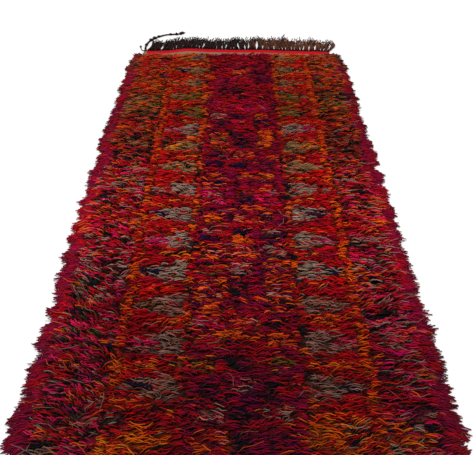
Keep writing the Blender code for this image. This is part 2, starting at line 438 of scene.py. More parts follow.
def woolAt(x, y, dice):
    drawn = flowerWool(x, y, dice)
    if drawn:
        return drawn
    field = bands[bandAt(x, y)]["field"]
    if field == "border" and y > borderEnd["from"] + dice.normal(0, 0.03):
        if dice.random() < borderEnd["share"]:
            return pickWool(borderEnd["wools"], dice.random())
    x += dice.normal(0, 0.006)
    y += dice.normal(0, 0.004)
    if field == "side":
        drawn = sideWool(x, y, dice)
    elif field == "panel":
        drawn = panelWool(x, y, dice)
    return drawn or groundWool(field, x, y, dice)


def linkObject(name, data):
    made = bpy.data.objects.new(name, data)
    bpy.context.scene.collection.objects.link(made)
    return made


def linkPiece(name, mesh, material, slot, nodes):
    piece = linkObject(name, mesh)
    mesh.materials.append(material)
    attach(piece, "root")
    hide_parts(*nodes)
    return piece


def meshFrom(bm, name):
    mesh = bpy.data.meshes.new(name)
    bm.to_mesh(mesh)
    bm.free()
    mesh.shade_smooth()
    return mesh


def cornersOf(bm):
    return [loop for face in bm.faces for loop in face.loops]


def addNode(tree, kind, inputs=(), **settings):  # links an input that is given a socket, and sets any other
    node = tree.nodes.new("ShaderNode" + kind)
    for name, value in settings.items():
        setattr(node, name, value)
    for key, value in dict(inputs).items():
        if isinstance(value, bpy.types.NodeSocket):
            tree.links.new(value, node.inputs[key])
        else:
            node.inputs[key].default_value = value
    return node


def mathNode(tree, operation, *values):
    return addNode(tree, "Math", enumerate(values), operation=operation).outputs[0]


def scaledColour(tree, colour, shade):
    return addNode(tree, "VectorMath", {0: colour, "Scale": shade}, operation="SCALE").outputs[0]


# The node group that both wools use: a yarn's ply twist as bumps and as painted shade in its grooves, its
# loose fibres, and painted shade at its root
def buildYarnGroup():
    group = bpy.data.node_groups.new("yarnTwist", "ShaderNodeTree")
    inputs = dict(
        Colour="Color", Around="Float", Along="Float", Place="Vector", Turns="Float", Shade="Float",
    )
    for side, sockets in (("INPUT", inputs), ("OUTPUT", dict(Colour="Color", Height="Float"))):
        for label, kind in sockets.items():
            group.interface.new_socket(name=label, in_out=side, socket_type="NodeSocket" + kind)
    given = group.nodes.new("NodeGroupInput").outputs
    out = group.nodes.new("NodeGroupOutput").inputs
    maths = partial(mathNode, group)
    turned = maths("MULTIPLY", given["Along"], given["Turns"])
    turned = maths("MULTIPLY", maths("MULTIPLY_ADD", given["Around"], 2.0, turned), 2 * math.pi)
    ply = maths("MULTIPLY_ADD", maths("SINE", turned), 0.5, 0.5)
    fibres = addNode(group, "TexNoise", {"Vector": given["Place"], "Scale": 700.0, "Detail": 2.0}).outputs[0]
    # painted shade towards the root of a strand
    rootShade = addNode(group, "MapRange", {
        "Value": given["Along"], "From Min": 0.05, "From Max": 0.60, "To Min": given["Shade"],
    }).outputs["Result"]
    # painted shade in the grooves between the plies
    plyShade = maths("MULTIPLY_ADD", ply, 0.42, 0.66)
    shade = maths("MULTIPLY", plyShade, maths("MULTIPLY_ADD", fibres, 0.50, 0.75))
    shade = maths("MULTIPLY", shade, rootShade)
    group.links.new(scaledColour(group, given["Colour"], shade), out["Colour"])
    group.links.new(maths("MULTIPLY_ADD", fibres, 0.6, ply), out["Height"])
    return group


# Dull wool, and the materials made of it
woolFinish = {"Roughness": 0.90, "Specular IOR Level": 0.12, "Sheen Weight": 0.02, "Sheen Roughness": 0.5}


def newMaterial(name, finish):
    material = bpy.data.materials.new(name)
    material.use_nodes = True
    shader = material.node_tree.nodes["Principled BSDF"]
    for label, value in finish.items():
        shader.inputs[label].default_value = value
    return material, material.node_tree, shader


def dressShader(tree, shader, colour, height, strength, distance):
    bump = addNode(tree, "Bump", {"Strength": strength, "Distance": distance, "Height": height})
    tree.links.new(colour, shader.inputs["Base Color"])
    tree.links.new(bump.outputs["Normal"], shader.inputs["Normal"])


def yarnMaterial(name, turns, rootShade):
    material, tree, shader = newMaterial(name, woolFinish)
    lengthwise = addNode(tree, "UVMap", uv_map="yarn").outputs["UV"]
    split = addNode(tree, "SeparateXYZ", {0: lengthwise}).outputs
    twist = addNode(tree, "Group", {
        "Colour": addNode(tree, "Attribute", attribute_name="dyeAndPaintedShade").outputs["Color"],
        "Around": split["X"],
        "Along": split["Y"],
        "Place": addNode(tree, "TexCoord").outputs["Object"],
        "Turns": turns,
        "Shade": rootShade,
    }, node_tree=yarnTwist).outputs
    dressShader(tree, shader, twist["Colour"], twist["Height"], 0.8, 0.0006)
    return material


def only(kind, items):
    return [item for item in items if isinstance(item, kind)]


def turnOf(place):
    return math.atan2(place.y, place.x) / (2 * math.pi)


# Strands of yarn: one short tube drawn with operators, then repeated in arrays along any curve
def strandShape(sides, shares):
    bm = bmesh.new()
    bmesh.ops.create_circle(bm, cap_ends=False, segments=sides, radius=1.0)
    bmesh.ops.translate(bm, verts=bm.verts, vec=(0, 0, shares[0]))
    rootEdges = list(bm.edges)
    tipEdges = rootEdges
    for share in shares[1:]:
        grown = bmesh.ops.extrude_edge_only(bm, edges=tipEdges)["geom"]
        tipEdges = only(bmesh.types.BMEdge, grown)
        for vertex in only(bmesh.types.BMVert, grown):
            vertex.co.z = share
    rootFace = bmesh.ops.edgeloop_fill(bm, edges=rootEdges)["faces"][0]
    tipFaces = bmesh.ops.edgeloop_fill(bm, edges=tipEdges)["faces"]
    for vertex in bmesh.ops.poke(bm, faces=tipFaces)["verts"]:
        vertex.co = (0, 0, 1.0)
    bmesh.ops.recalc_face_normals(bm, faces=bm.faces)
    bm.verts.index_update()
    points = np.array([vertex.co[:] for vertex in bm.verts])
    start = turnOf(Vector(points[0]))
    corners, starts, unwrapped = [], [], []
    for face in bm.faces:
        starts.append(len(corners))
        corners += [vertex.index for vertex in face.verts]
        places = [vertex.co for vertex in face.verts]
        if face == rootFace:
            unwrapped += [(0.5 + 0.4 * co.x, shares[0] * (0.45 + 0.4 * co.y)) for co in places]
            continue
        middle = sum((co.xy for co in places), Vector((0, 0)))
        faceTurn = (turnOf(middle) - start) % 1
        for co in places:
            aside = (turnOf(co) - start - faceTurn + 0.5) % 1 - 0.5
            unwrapped.append((faceTurn + (aside if co.xy.length > 0.5 else 0), co.z))
    bm.free()
    return {
        "points": points,
        "corners": np.array(corners),
        "starts": np.array(starts),
        "unwrapped": np.array(unwrapped),
    }


def evenShape(sides, first, last, rings):
    return strandShape(sides, tuple(np.linspace(first, last, rings)))


def fill(target, key, values, kind=np.float32):
    target.foreach_set(key, values.astype(kind).ravel())


def layStrands(name, shape, curve, thickness, dyeAndPaintedShade, taper, dress, flat=1.0, longer=3.6):
    # curve gives the middles of all strands for a row of shares along them, as strands by shares by 3
    ring = shape["points"]
    shares = ring[None, :, 2]
    middle = curve(shares)
    ahead = curve(shares + 0.01) - curve(shares - 0.01)
    ahead /= np.linalg.norm(ahead, axis=2, keepdims=True)
    beside = np.cross(np.array((0.0, 0.0, 1.0)), ahead)
    beside /= np.maximum(np.linalg.norm(beside, axis=2, keepdims=True), 1e-6)
    above = np.cross(ahead, beside) * flat
    radius = thickness[:, None] / 2 * (1 - taper * shares)
    points = middle + beside * (radius * ring[:, 0])[:, :, None] + above * (radius * ring[:, 1])[:, :, None]
    count, size = points.shape[:2]
    order = np.arange(count)
    mesh = bpy.data.meshes.new(name)
    mesh.vertices.add(count * size)
    fill(mesh.vertices, "co", points)
    mesh.loops.add(count * len(shape["corners"]))
    fill(mesh.loops, "vertex_index", shape["corners"] + size * order[:, None], np.int32)
    mesh.polygons.add(count * len(shape["starts"]))
    fill(mesh.polygons, "loop_start", shape["starts"] + len(shape["corners"]) * order[:, None], np.int32)
    mesh.update(calc_edges=True)
    mesh.shade_smooth()
    lengthwise = np.tile(shape["unwrapped"], (count, 1, 1))
    fill(mesh.uv_layers.new(name="yarn").uv, "vector", lengthwise)
    cellsAcross = math.ceil(math.sqrt(count * longer))
    cellsUp = math.ceil(count / cellsAcross)
    cell = np.stack((order % cellsAcross, order // cellsAcross), axis=1)
    spread = (cell[:, None, :] + 0.08 + 0.84 * lengthwise) / np.array((cellsAcross, cellsUp))
    fill(mesh.uv_layers.new(name="OFBake").uv, "vector", spread)
    painted = np.ones((count, size, 4))
    painted[:, :, :3] = dyeAndPaintedShade[:, None, :]
    # the strands' colours: dye, and on the pile also painted shade and painted light
    fill(mesh.attributes.new("dyeAndPaintedShade", "FLOAT_COLOR", "POINT").data, "color", painted)
    linkPiece(name, mesh, *dress)


# The long pile: knots in rows, each with strands of one wool that lie over together
pile = {
    "across": 0.0170,  # between knots
    "along": 0.0118,  # between rows of knots
    "strands": 2,  # to a knot
    "between": 0.0070,  # the strands of a knot
    "length": 0.040,
    "lengthSpread": 0.008,
    "thickness": 0.0050,
    "flat": 0.80,
    "tone": 0.80,
    # painted light: how much brighter the wool is painted in the middle of the rug's length
    "paintedLight": 0.62,
    "rootDepth": 0.60,  # of the pile's height
    "crestAt": 0.30,
    "pieces": 6,
    "rings": (0.08, 0.34, 0.64, 0.95),
    "inset": 0.046,  # from the pile's side to the outermost knots
}

# The rim: strands that hang over each side's edge, each layer ending a little further in than the last
rim = {
    "layers": (-0.006, 0.000, 0.008, 0.019),
    "pitch": 0.0044,
    "length": 0.060,
    "lengthSpread": 0.008,
    "woolPitch": 0.010,  # each layer takes its wool from this much further in
    "tuft": 0.024,
    "wander": 0.0045,
    "locks": 40,  # degrees that a lock of strands turns together
    "lean": 8,  # degrees, like the spread and the fan at the ends
    "spread": 8,
    "thickness": 0.0054,
    "fan": 62,
    "fanReach": 0.13,
}

# Long stray strands that lie over the others, most of them in the guards and near the viewer
strays = {
    "count": 240,
    "length": 0.076,
    "thickness": 0.0030,
    "bend": 0.024,
    "wave": 0.0045,
    "wools": dict(ash=5, salmon=2, orange=3, pink=3, crimson=2, tan=1),
}

# Degrees that the strands lie away from straight across, near and far and on each side, and their spread
lay = {"near": 5, "far": 12, "left": 22, "right": 3, "swirl": 32, "spread": 11, "atEnd": 75, "inKnot": 9}

# Strands stay in their zone: the places tested along one, how far it may slide, and how short it gets
fitting = {"tested": (-0.2, 0.3, 0.65), "slides": (0.0, 0.15, 0.3, 0.45, 0.6), "short": 0.68, "back": 0.2}


def paintedLightAlong(y):  # painted light and shade: the wool is painted brightest in the middle of the rug's length, darkest at the near end
    return pile["tone"] * (1 + pile["paintedLight"] * (smoothStep(-1.05, -0.40, y) - 0.6 * smoothStep(0.0, 0.7, y)))


def layAngle(x, y, dice):  # the way that the strands lie: outwards, and a little away from the viewer
    share = abs(x) / halfWidth
    near = 1 - smoothStep(-0.9, 0.3, y)
    sideLean = lay["left" if x < 0 else "right"] * near * smoothStep(0.3, 0.8, share)
    lean = math.radians(lay["near"] + (lay["far"] - lay["near"]) * (1 - near) + sideLean)
    lean += math.radians(lay["swirl"]) * uneven("lay", x, y) + dice.normal(0, math.radians(lay["spread"]))
    toEnd = smoothStep(halfLength - 0.060, halfLength - 0.015, abs(y)) * dice.random()
    lean += toEnd * (math.copysign(math.radians(lay["atEnd"]), y) - lean)
    outwards = x > 0
    if share < 0.85 and uneven("parting", x, y) + 0.9 * (share - 0.12) < 0:
        outwards = not outwards
    return lean if outwards else math.pi - lean


def fitStrand(x, y, angle, length):  # slides or turns a strand back, or shortens it, at the edge of its zone
    home = zoneAt(x, y)
    for turned in (angle, math.pi - angle):
        forward = length * math.cos(turned), length * math.sin(turned)
        for slide in fitting["slides"]:
            shares = [place - slide for place in fitting["tested"]]
            places = [(x + share * forward[0], y + share * forward[1]) for share in shares]
            if all(zoneAt(*place) == home for place in places):
                return x - slide * forward[0], y - slide * forward[1], turned, length
    short = fitting["short"] * length
    back = fitting["back"] * short
    return x - back * math.cos(angle), y - back * math.sin(angle), angle, short


# What pileCurve reads: the crest's place and height, the way it lies, its waves, its root, then its colour:
# dye with painted light and shade
def strandRow(
    x, y, angle, length, crest, droop, dice, tone,
    aside=0.0, bend=0.008, root=0.006, thickness=pile["thickness"], wave=0.0015,
):
    return (
        x, y, angle, length, min(crest, rug["highest"]), droop,
        aside, wave * (0.5 + dice.random()), dice.random() * 2 * math.pi,
        dice.normal(0, bend), root, thickness * (0.82 + 0.36 * dice.random()), *tone,
    )


def plantKnots():
    dice = np.random.default_rng(11)
    reach = halfWidth - pile["inset"]
    columns = round(2 * reach / pile["across"])
    rows = round(rug["pileLength"] / pile["along"])
    found = []
    for row in range(rows):
        for column in range(columns):
            across = ((column + 0.5 * (row % 2) + 0.25 + dice.normal(0, 0.3)) / columns) * 2 - 1
            along = ((row + 0.5 + dice.normal(0, 0.3)) / rows) * 2 - 1
            y = along * (halfLength - 0.002) + endDrift(across, along)
            width = reach + sideLine(across, y) * abs(across) ** 3
            width -= (reach - halfWeave) * smoothStep(halfLength - 0.10, halfLength, abs(y))
            x = across * width
            top = pileTop(x, y)
            length = pile["length"] + dice.normal(0, pile["lengthSpread"])
            x, y, angle, length = fitStrand(x, y, layAngle(x, y, dice), length)
            seenX, seenY = x + 0.2 * length * math.cos(angle), y + 0.2 * length * math.sin(angle)
            fullness = 0.88 + 0.16 * uneven("fullness", x, y) + dice.normal(0, 0.14)
            for strand in range(pile["strands"]):
                crest = top * min(max(fullness + dice.normal(0, 0.07), 0.34), 1.30)
                wool = woolAt(seenX, seenY + dice.normal(0, 0.004), dice)
                # painted light and shade along the rug's length
                tone = yarns[wool] * (0.80 + 0.40 * dice.random()) * paintedLightAlong(y)
                # painted shade: strands that crest lower in the pile are painted darker
                tone *= 0.42 + 0.58 * smoothStep(0.45, 1.02, crest / top)
                turned = angle + dice.normal(0, math.radians(lay["inKnot"]))
                found.append(strandRow(
                    x, y, turned, length * (0.9 + 0.2 * dice.random()), crest, 0.80 + 0.18 * dice.random(),
                    dice, tone, aside=(strand - 0.5) * pile["between"] + dice.normal(0, 0.0015),
                    root=top * pile["rootDepth"],
                ))
    return found


def plantRim():
    dice = np.random.default_rng(16)
    reach = halfLength + 0.010
    rows = round(2 * reach / rim["pitch"])
    found = []
    for side in (-1, 1):
        for layer, inset in enumerate(rim["layers"]):
            for row in range(rows):
                y = ((row + dice.random()) / rows * 2 - 1) * reach
                edge = halfWidth + sideLine(side, y) - inset
                edge += rim["tuft"] * uneven("edgeTufts", side, y) + dice.normal(0, rim["wander"])
                corner = smoothStep(halfLength - rim["fanReach"], halfLength, abs(y))
                fan = rim["fan"] * corner * ends[endAt(y)] * (0.6 + 0.4 * dice.random())
                turned = rim["locks"] * uneven("edgeTufts", side + 4, y)
                turned += dice.normal(0, rim["spread"])
                lean = math.radians(rim["lean"] + (fan + turned))
                angle = lean if side > 0 else math.pi - lean
                length = (rim["length"] + dice.normal(0, rim["lengthSpread"])) * (1 + 0.30 * corner)
                x = side * (edge - (1 - pile["crestAt"]) * length * max(math.cos(lean), 0.4))
                crest = pileTop(x, y) * (0.45 + 0.17 * layer + 0.16 * dice.random())
                wool = woolAt(side * (halfWidth - rim["woolPitch"] * (layer + 1)), y, dice)
                tone = yarns[wool] * (0.80 + 0.40 * dice.random())
                # painted shade: the outer, lower layers of the rim are painted darker, with painted light
                # and shade along the rug's length
                tone = tone * (0.56 + 0.11 * layer) * paintedLightAlong(y)
                found.append(strandRow(
                    x, y, angle, length, crest, 0.15 + 0.45 * dice.random(), dice, tone,
                    thickness=rim["thickness"],
                ))
    return found


def plantStrays():
    dice = np.random.default_rng(17)
    found = []
    for stray in range(strays["count"]):
        side = dice.choice((-1, 1))
        x = side * (0.37 + 0.20 * dice.random() if dice.random() < 0.6 else 0.57 * dice.random())
        y = halfLength * (0.94 - 1.88 * dice.random() ** 0.7)
        length = strays["length"] * (0.8 + 0.5 * dice.random())
        wool = pickWool(strays["wools"], dice.random())
        # painted light and shade along the rug's length, as on the knots' strands
        tone = yarns[wool] * (0.62 + 0.35 * dice.random()) * paintedLightAlong(y)
        turned = layAngle(x, y, dice) + dice.normal(0, 0.35)
        found.append(strandRow(
            x, y, turned, length, pileTop(x, y) * 1.12 + 0.003, 0.80 + 0.25 * dice.random(), dice, tone,
            bend=strays["bend"], wave=strays["wave"], thickness=strays["thickness"],
        ))
    return found


def pileCurve(rows, shares):
    x, y, angle, length, crest, droop, aside, wave, phase, bend, root, thickness = (
        column[:, None] for column in rows.T[:12])
    crestAt = pile["crestAt"]
    past = shares - crestAt
    forward = length * past
    sideways = aside * (1 - 0.35 * shares) + wave * np.sin(10.0 * shares + phase) + bend * past ** 2
    rise = np.clip(shares / crestAt, -0.2, 1)
    fall = np.clip(past / (1 - crestAt), 0, 1.1)
    height = root - 0.003 + (crest - root + 0.003) * np.sin(rise * math.pi / 2)
    height = height - crest * (1 - droop) * fall ** 1.6 + 0.0008 * np.sin(13.0 * shares + 2 * phase)
    height = np.maximum(height, thickness / 2 + 0.0008)
    return np.stack((
        x + forward * np.cos(angle) - sideways * np.sin(angle),
        y + forward * np.sin(angle) + sideways * np.cos(angle),
        height,
    ), axis=2)


def buildPile(material):
    rows = np.array(plantKnots() + plantRim() + plantStrays())
    rows = rows[np.argsort(rows[:, 1], kind="stable")]
    shape = strandShape(3, pile["rings"])
    dress = (material, "pile_wool", ("rug",))
    for number, part in enumerate(np.array_split(rows, pile["pieces"])):
        name = f"pile_{number + 1}"
        curve = partial(pileCurve, part)
        layStrands(name, shape, curve, part[:, 11], part[:, 12:15], 0.20, dress, flat=pile["flat"])
    print(f"pile: {len(rows)} strands")


# The knotted bed under the strands: a lumpy slab in the pattern's wools, darkened as painted shade
bed = {
    "columns": 48,
    "rows": 120,
    "height": 0.56,  # of the pile's
    # painted shade: the share of the wool's colour that the bed keeps
    "shade": 0.16,
    "inset": 0.020,
    "sideInset": 0.034,
    "under": 0.003,
}


def flatBlock(columns, rows):  # a block of cells, 2 by 2 across and 1 high
    bm = bmesh.new()
    bmesh.ops.create_grid(bm, x_segments=columns, y_segments=rows, size=1.0)
    under = list(bm.faces)
    top = bmesh.ops.extrude_face_region(bm, geom=under, use_keep_orig=True)
    for vertex in only(bmesh.types.BMVert, top["geom"]):
        vertex.co.z = 1.0
    bmesh.ops.recalc_face_normals(bm, faces=bm.faces)
    return bm, under


def buildBed(material):
    dice = np.random.default_rng(12)
    bm, under = flatBlock(bed["columns"], bed["rows"])
    bmesh.ops.dissolve_faces(bm, faces=under)
    dyeAndPaintedShade = bm.verts.layers.float_color.new("dyeAndPaintedShade")
    lengthwise = bm.loops.layers.uv.new("yarn")
    for vertex in bm.verts:
        across, along = vertex.co.x, vertex.co.y
        y = along * (halfLength - bed["inset"]) + endDrift(across, along)
        width = halfWidth - bed["sideInset"] + sideLine(across, y) * abs(across) ** 3
        width -= (width - halfWeave + bed["inset"]) * smoothStep(halfLength - 0.10, halfLength, abs(y))
        x = across * width
        height = bed["height"] * pileTop(x, y) + dice.normal(0, 0.002)
        vertex.co = (x, y, max(height, 0.006) if vertex.co.z > 0.5 else bed["under"])
        # painted shade: the bed takes the pattern's wool, darkened to a small share of its colour
        colour = yarns[woolAt(x, y, dice)] * bed["shade"]
        vertex[dyeAndPaintedShade] = (*colour, 1.0)
    for loop in cornersOf(bm):
        loop[lengthwise].uv = (loop.vert.co.x * 60, 0.8)
    mesh = meshFrom(bm, "knot_bed")
    linkPiece("knot_bed", mesh, material, "pile_wool", ("rug",))
    print("bed of knots")


# The ground weave from end to end, with a red band and a taupe strip beyond the pile
weave = {
    "columns": 32,
    "ribs": 34,  # in each flat end
    "middleRows": 24,
    "low": 0.0006,
    "high": 0.0034,
    "ribHeight": 0.0005,
    "redBand": 0.045,
    "taupeStrip": 0.055,
    "redFrom": 0.026,  # from the cloth's left side, where bare tan threads end
    "red": linear(204, 8, 32),
    "taupe": linear(150, 118, 92),
    "underPile": linear(120, 20, 26),
    "rampReach": 0.25,
    "warps": 300.0,  # to a metre
    "wefts": 350.0,
}


def weaveRows():
    edge = halfLength + rug["flatEnd"]
    ribRows = np.linspace(0, rug["flatEnd"], 2 * weave["ribs"] + 1)[:-1]
    middle = np.linspace(-halfLength, halfLength, weave["middleRows"] + 1)
    return np.concatenate((ribRows - edge, middle, edge - ribRows[::-1]))


def buildWeave(material):
    rows = weaveRows()
    bm = flatBlock(weave["columns"], len(rows) - 1)[0]
    cloth = bm.loops.layers.uv.new("weave")
    fromEnd = {}
    for vertex in bm.verts:
        row = round((vertex.co.y + 1) / 2 * (len(rows) - 1))
        end = endAt(rows[row])
        x = vertex.co.x * halfWeave
        pull = smoothStep(halfLength * 0.6, halfLength, abs(rows[row]))
        y = rows[row] + ends[end] * endLine(x, end) * pull
        z = weave["high"] if vertex.co.z > 0.5 else weave["low"]
        if abs(rows[row]) > halfLength and row % 2:
            z += weave["ribHeight"] if vertex.co.z > 0.5 else -weave["ribHeight"] / 2
        fromEnd[vertex] = halfLength + rug["flatEnd"] - abs(rows[row])
        vertex.co = (x, y, z)
    for loop in cornersOf(bm):
        loop[cloth].uv = (loop.vert.co.x, fromEnd[loop.vert])
    mesh = meshFrom(bm, "ground_weave")
    piece = linkPiece("ground_weave", mesh, material, "flat_weave", ("rug",))
    print("ground weave")
    return piece


def plainWeave(tree, cloth, split):  # painted shade low between the cloth's threads, with grain, and the height of the threads
    maths = partial(mathNode, tree)
    across = maths("MULTIPLY", split["X"], weave["warps"])
    along = maths("MULTIPLY", split["Y"], weave["wefts"])
    step = maths("MODULO", maths("FLOOR", along), 2.0)
    over = maths("ABSOLUTE", maths("SINE", maths("MULTIPLY", maths("ADD", across, step), math.pi)))
    rib = maths("ABSOLUTE", maths("SINE", maths("MULTIPLY", along, math.pi)))
    height = maths("MULTIPLY", maths("POWER", over, 0.6), maths("POWER", rib, 0.6))
    grain = addNode(tree, "TexNoise", {"Scale": 420.0, "Vector": cloth}).outputs["Fac"]
    # painted shade: the threads are painted darker where they dip, with grain
    return maths("MULTIPLY_ADD", grain, 0.35, maths("MULTIPLY_ADD", height, 0.45, 0.45)), height


def weaveMaterial():
    material, tree, shader = newMaterial("flatWeave", {**woolFinish, "Roughness": 0.88})
    maths = partial(mathNode, tree)
    cloth = addNode(tree, "UVMap", uv_map="weave").outputs["UV"]
    split = addNode(tree, "SeparateXYZ", {0: cloth}).outputs
    ragged = addNode(tree, "TexNoise", {"Scale": 60.0, "Vector": cloth}).outputs["Fac"]
    fromEnd = maths("DIVIDE", maths("MULTIPLY_ADD", ragged, 0.006, split["Y"]), weave["rampReach"])
    ramp = addNode(tree, "ValToRGB", {"Fac": fromEnd})
    stripes = ramp.color_ramp
    stripes.interpolation = "CONSTANT"
    stripes.elements.remove(stripes.elements[1])
    stripes.elements[0].color = (*weave["red"], 1)
    pileFrom = weave["redBand"] + weave["taupeStrip"]
    for place, colour in ((weave["redBand"], weave["taupe"]), (pileFrom, weave["underPile"])):
        stripes.elements.new(place / weave["rampReach"]).color = (*colour, 1)
    side = maths("MULTIPLY_ADD", ragged, 0.012, split["X"])
    dyed = addNode(tree, "Mix", {
        "A": (*weave["taupe"], 1),
        "B": ramp.outputs["Color"],
        "Factor": maths("GREATER_THAN", side, weave["redFrom"] - halfWeave),
    }, data_type="RGBA")
    shade, height = plainWeave(tree, cloth, split)
    dressShader(tree, shader, scaledColour(tree, dyed.outputs["Result"], shade), height, 0.6, 0.0008)
    return material


# The fringe: a twined edge, then tassels that are twisted, knotted and frayed at their ends
fringe = {
    "tassels": 64,
    "length": 0.158,
    "edgeDepth": 0.009,
    "cornerShorter": 0.20,
    "rightLonger": 0.17,
    "rightFan": 0.034,
    "leftLean": 0.018,
    "strands": 8,
    "thickness": 0.0060,
    "body": 0.0060,  # from a tassel's middle to its strands
    "knotAt": 0.42,
    "splay": 0.0115,
    "axis": 0.0082,
    "rings": 8,
    "twineTurns": 60,
    "twineThickness": 0.0050,
    "twineWide": 0.0022,
    "twineHigh": 0.0019,
    "twists": 2.2,  # of a tassel's strands down to its knot
    "curl": 0.0064,  # of the frayed ends
    "woundWide": 0.0076,
    "woundHigh": 0.0066,
    "woundThickness": 0.0040,
}


def edgePlace(x, out, end):
    return Vector((x, ends[end] * (halfLength + rug["flatEnd"] + endLine(x, end) + out)))


def warpTone(share, dice):  # nearly black on the left, a warmer brown on the right third
    warm = smoothStep(0.10, 0.55, share + dice.normal(0, 0.12))
    tone = yarns["warpDark"] * (1 - warm) + yarns["warpWarm"] * warm
    return tone * (0.75 + 0.5 * dice.random())


def tasselStrands(end, dice):
    found = []
    for number in range(fringe["tassels"]):
        share = 2 * (number + 0.5) / fringe["tassels"] - 1
        if end == "far" and number == 0:
            continue
        root = edgePlace(share * halfWeave, fringe["edgeDepth"] * 0.5, end)
        lean = 0.7 * uneven("tasselLean", *root) + dice.normal(0, 0.005)
        lean += fringe["rightFan" if share > 0 else "leftLean"] * abs(share) ** 5
        length = fringe["length"] + uneven("tasselLength", *root)
        length *= (1 - fringe["cornerShorter"] * abs(share) ** 6) * (0.86 + 0.22 * dice.random())
        length *= 1 + fringe["rightLonger"] * smoothStep(0.2, 0.7, share)
        knotAt = fringe["knotAt"] + dice.normal(0, 0.08)
        turn = dice.random() * 2 * math.pi
        bend = dice.normal(0, 0.006)
        tone = warpTone(share, dice)
        for strand in range(fringe["strands"]):
            phase = turn + 2 * math.pi * strand / fringe["strands"]
            reach = length * (1 + dice.normal(0, 0.06))
            found.append((
                root.x, root.y, lean, ends[end] * reach, phase, knotAt,
                fringe["splay"] * (0.5 + 0.9 * dice.random()), dice.normal(0, 0.003), bend,
                dice.random() * 6.3, *(tone * (0.4 + 1.3 * dice.random() ** 1.5)),
            ))
    return np.array(found)


def tasselCurve(rows, shares):
    x, y, lean, reach, phase, knotAt, splay, wander, bend, wave = (column[:, None] for column in rows.T[:10])
    fromKnot = shares - knotAt
    loose = np.clip(fromKnot / (1 - knotAt), 0, 1.1)
    spread = fringe["body"] * (1 + 0.5 * np.exp(-(fromKnot / 0.10) ** 2)) + splay * loose ** 1.1
    turned = phase + 2 * math.pi * fringe["twists"] * np.minimum(shares, knotAt)
    curl = fringe["curl"] * loose * np.sin(14 * shares + wave)
    sideways = spread * np.cos(turned) + wander * loose + bend * np.sin(3.0 * shares) + curl
    height = fringe["axis"] + spread * 0.75 * np.sin(turned) + 0.0014 * loose * np.cos(13 * shares + wave)
    height = np.maximum(height, fringe["thickness"] / 2 + 0.0006)
    return np.stack((
        x + lean * shares + sideways,
        y + reach * shares - curl * 0.5,
        height * np.ones_like(sideways),
    ), axis=2)


def bindingCurve(rows, shares):  # a few turns of yarn round each tassel's knot
    x, y, lean, reach, phase, knotAt = (column[:, None] for column in rows.T[:6])
    bend = rows[:, 8][:, None]
    turned = phase + 2 * math.pi * 2.0 * shares
    at = knotAt + 0.07 * (shares - 0.5)
    height = np.maximum(fringe["axis"] + fringe["woundHigh"] * np.sin(turned), 0.0026)
    return np.stack((
        x + lean * at + bend * np.sin(3.0 * at) + fringe["woundWide"] * np.cos(turned),
        y + reach * at,
        height,
    ), axis=2)


def twineCurve(end, plies, shares):
    x = (shares * 2 - 1) * (halfWeave + 0.002)
    roots = np.clip(x[0], -0.6, 0.6)
    out = np.array([edgePlace(root, fringe["edgeDepth"] * 0.55, end).y for root in roots])
    turned = np.arange(plies)[:, None] * 2 * math.pi / plies + 2 * math.pi * fringe["twineTurns"] * shares
    return np.stack((
        x * np.ones_like(turned),
        out + fringe["twineWide"] * np.cos(turned),
        0.0052 + fringe["twineHigh"] * np.sin(turned),
    ), axis=2)


def buildFringe(end, seed, material):
    dice = np.random.default_rng(seed)
    dress = (material, "fringe_wool", (f"fringe_{end}",))
    rows = tasselStrands(end, dice)
    shape = evenShape(4, 0.02, 0.96, fringe["rings"])
    thickness = fringe["thickness"] * (0.8 + 0.4 * dice.random(len(rows)))
    curve = partial(tasselCurve, rows)
    layStrands(f"tassels_{end}", shape, curve, thickness, rows[:, 10:13], 0.25, dress, longer=9.0)
    knots = rows[::fringe["strands"]]
    shape = evenShape(4, 0.05, 0.95, 10)
    thickness = np.full(len(knots), fringe["woundThickness"])
    curve = partial(bindingCurve, knots)
    layStrands(f"tassel_knots_{end}", shape, curve, thickness, knots[:, 10:13] * 1.1, 0.0, dress, longer=9.0)
    shape = evenShape(4, 0.001, 0.999, fringe["twineTurns"] * 5)
    thickness = np.full(2, fringe["twineThickness"])
    dyeAndPaintedShade = np.array([yarns["warpDark"] * tone for tone in (1.0, 1.5)])
    curve = partial(twineCurve, end, 2)
    layStrands(f"twined_edge_{end}", shape, curve, thickness, dyeAndPaintedShade, 0.0, dress, longer=9.0)
    print(f"{end} fringe: {len(rows)} strands in {len(knots)} tassels")


# The long loose braid at the far left corner, and the short loose strand beside it
braid = {
    "route": table(
        "across out",
        (0.000, 0.000), (-0.006, 0.050), (-0.004, 0.100), (0.008, 0.150),
        (0.030, 0.193), (0.059, 0.228), (0.093, 0.254), (0.130, 0.267),
        (0.168, 0.271), (0.198, 0.282), (0.214, 0.308),
    ),
    "knots": table(
        "at radius reach",
        (0.18, 0.0075, 0.034), (0.34, 0.0115, 0.026), (0.42, 0.0120, 0.040),
        (0.50, 0.0080, 0.030), (0.70, 0.0080, 0.030), (0.80, 0.0105, 0.030),
        (0.88, 0.0115, 0.028), (0.94, 0.0095, 0.030),
    ),
    "inset": 0.009,  # from the weave's side
    "rootDepth": 0.6,  # of the twined edge's
    "strands": 3,
    "turns": 16,
    "width": 0.0036,
    "lift": 0.0058,
    "fork": 0.011,
    "thickness": 0.0056,
    "rings": 130,
}
looseStrand = {
    "route": table("across out", (0.000, 0.000), (-0.013, 0.010), (-0.024, 0.042), (-0.031, 0.086)),
    "knots": table("at radius reach", (0.86, 0.0050, 0.060)),
    "inset": 0.0,
    "rootDepth": 0.5,
    "strands": 2,
    "turns": 5,
    "width": 0.0016,
    "lift": 0.0040,
    "fork": 0.003,
    "thickness": 0.0036,
    "rings": 30,
}
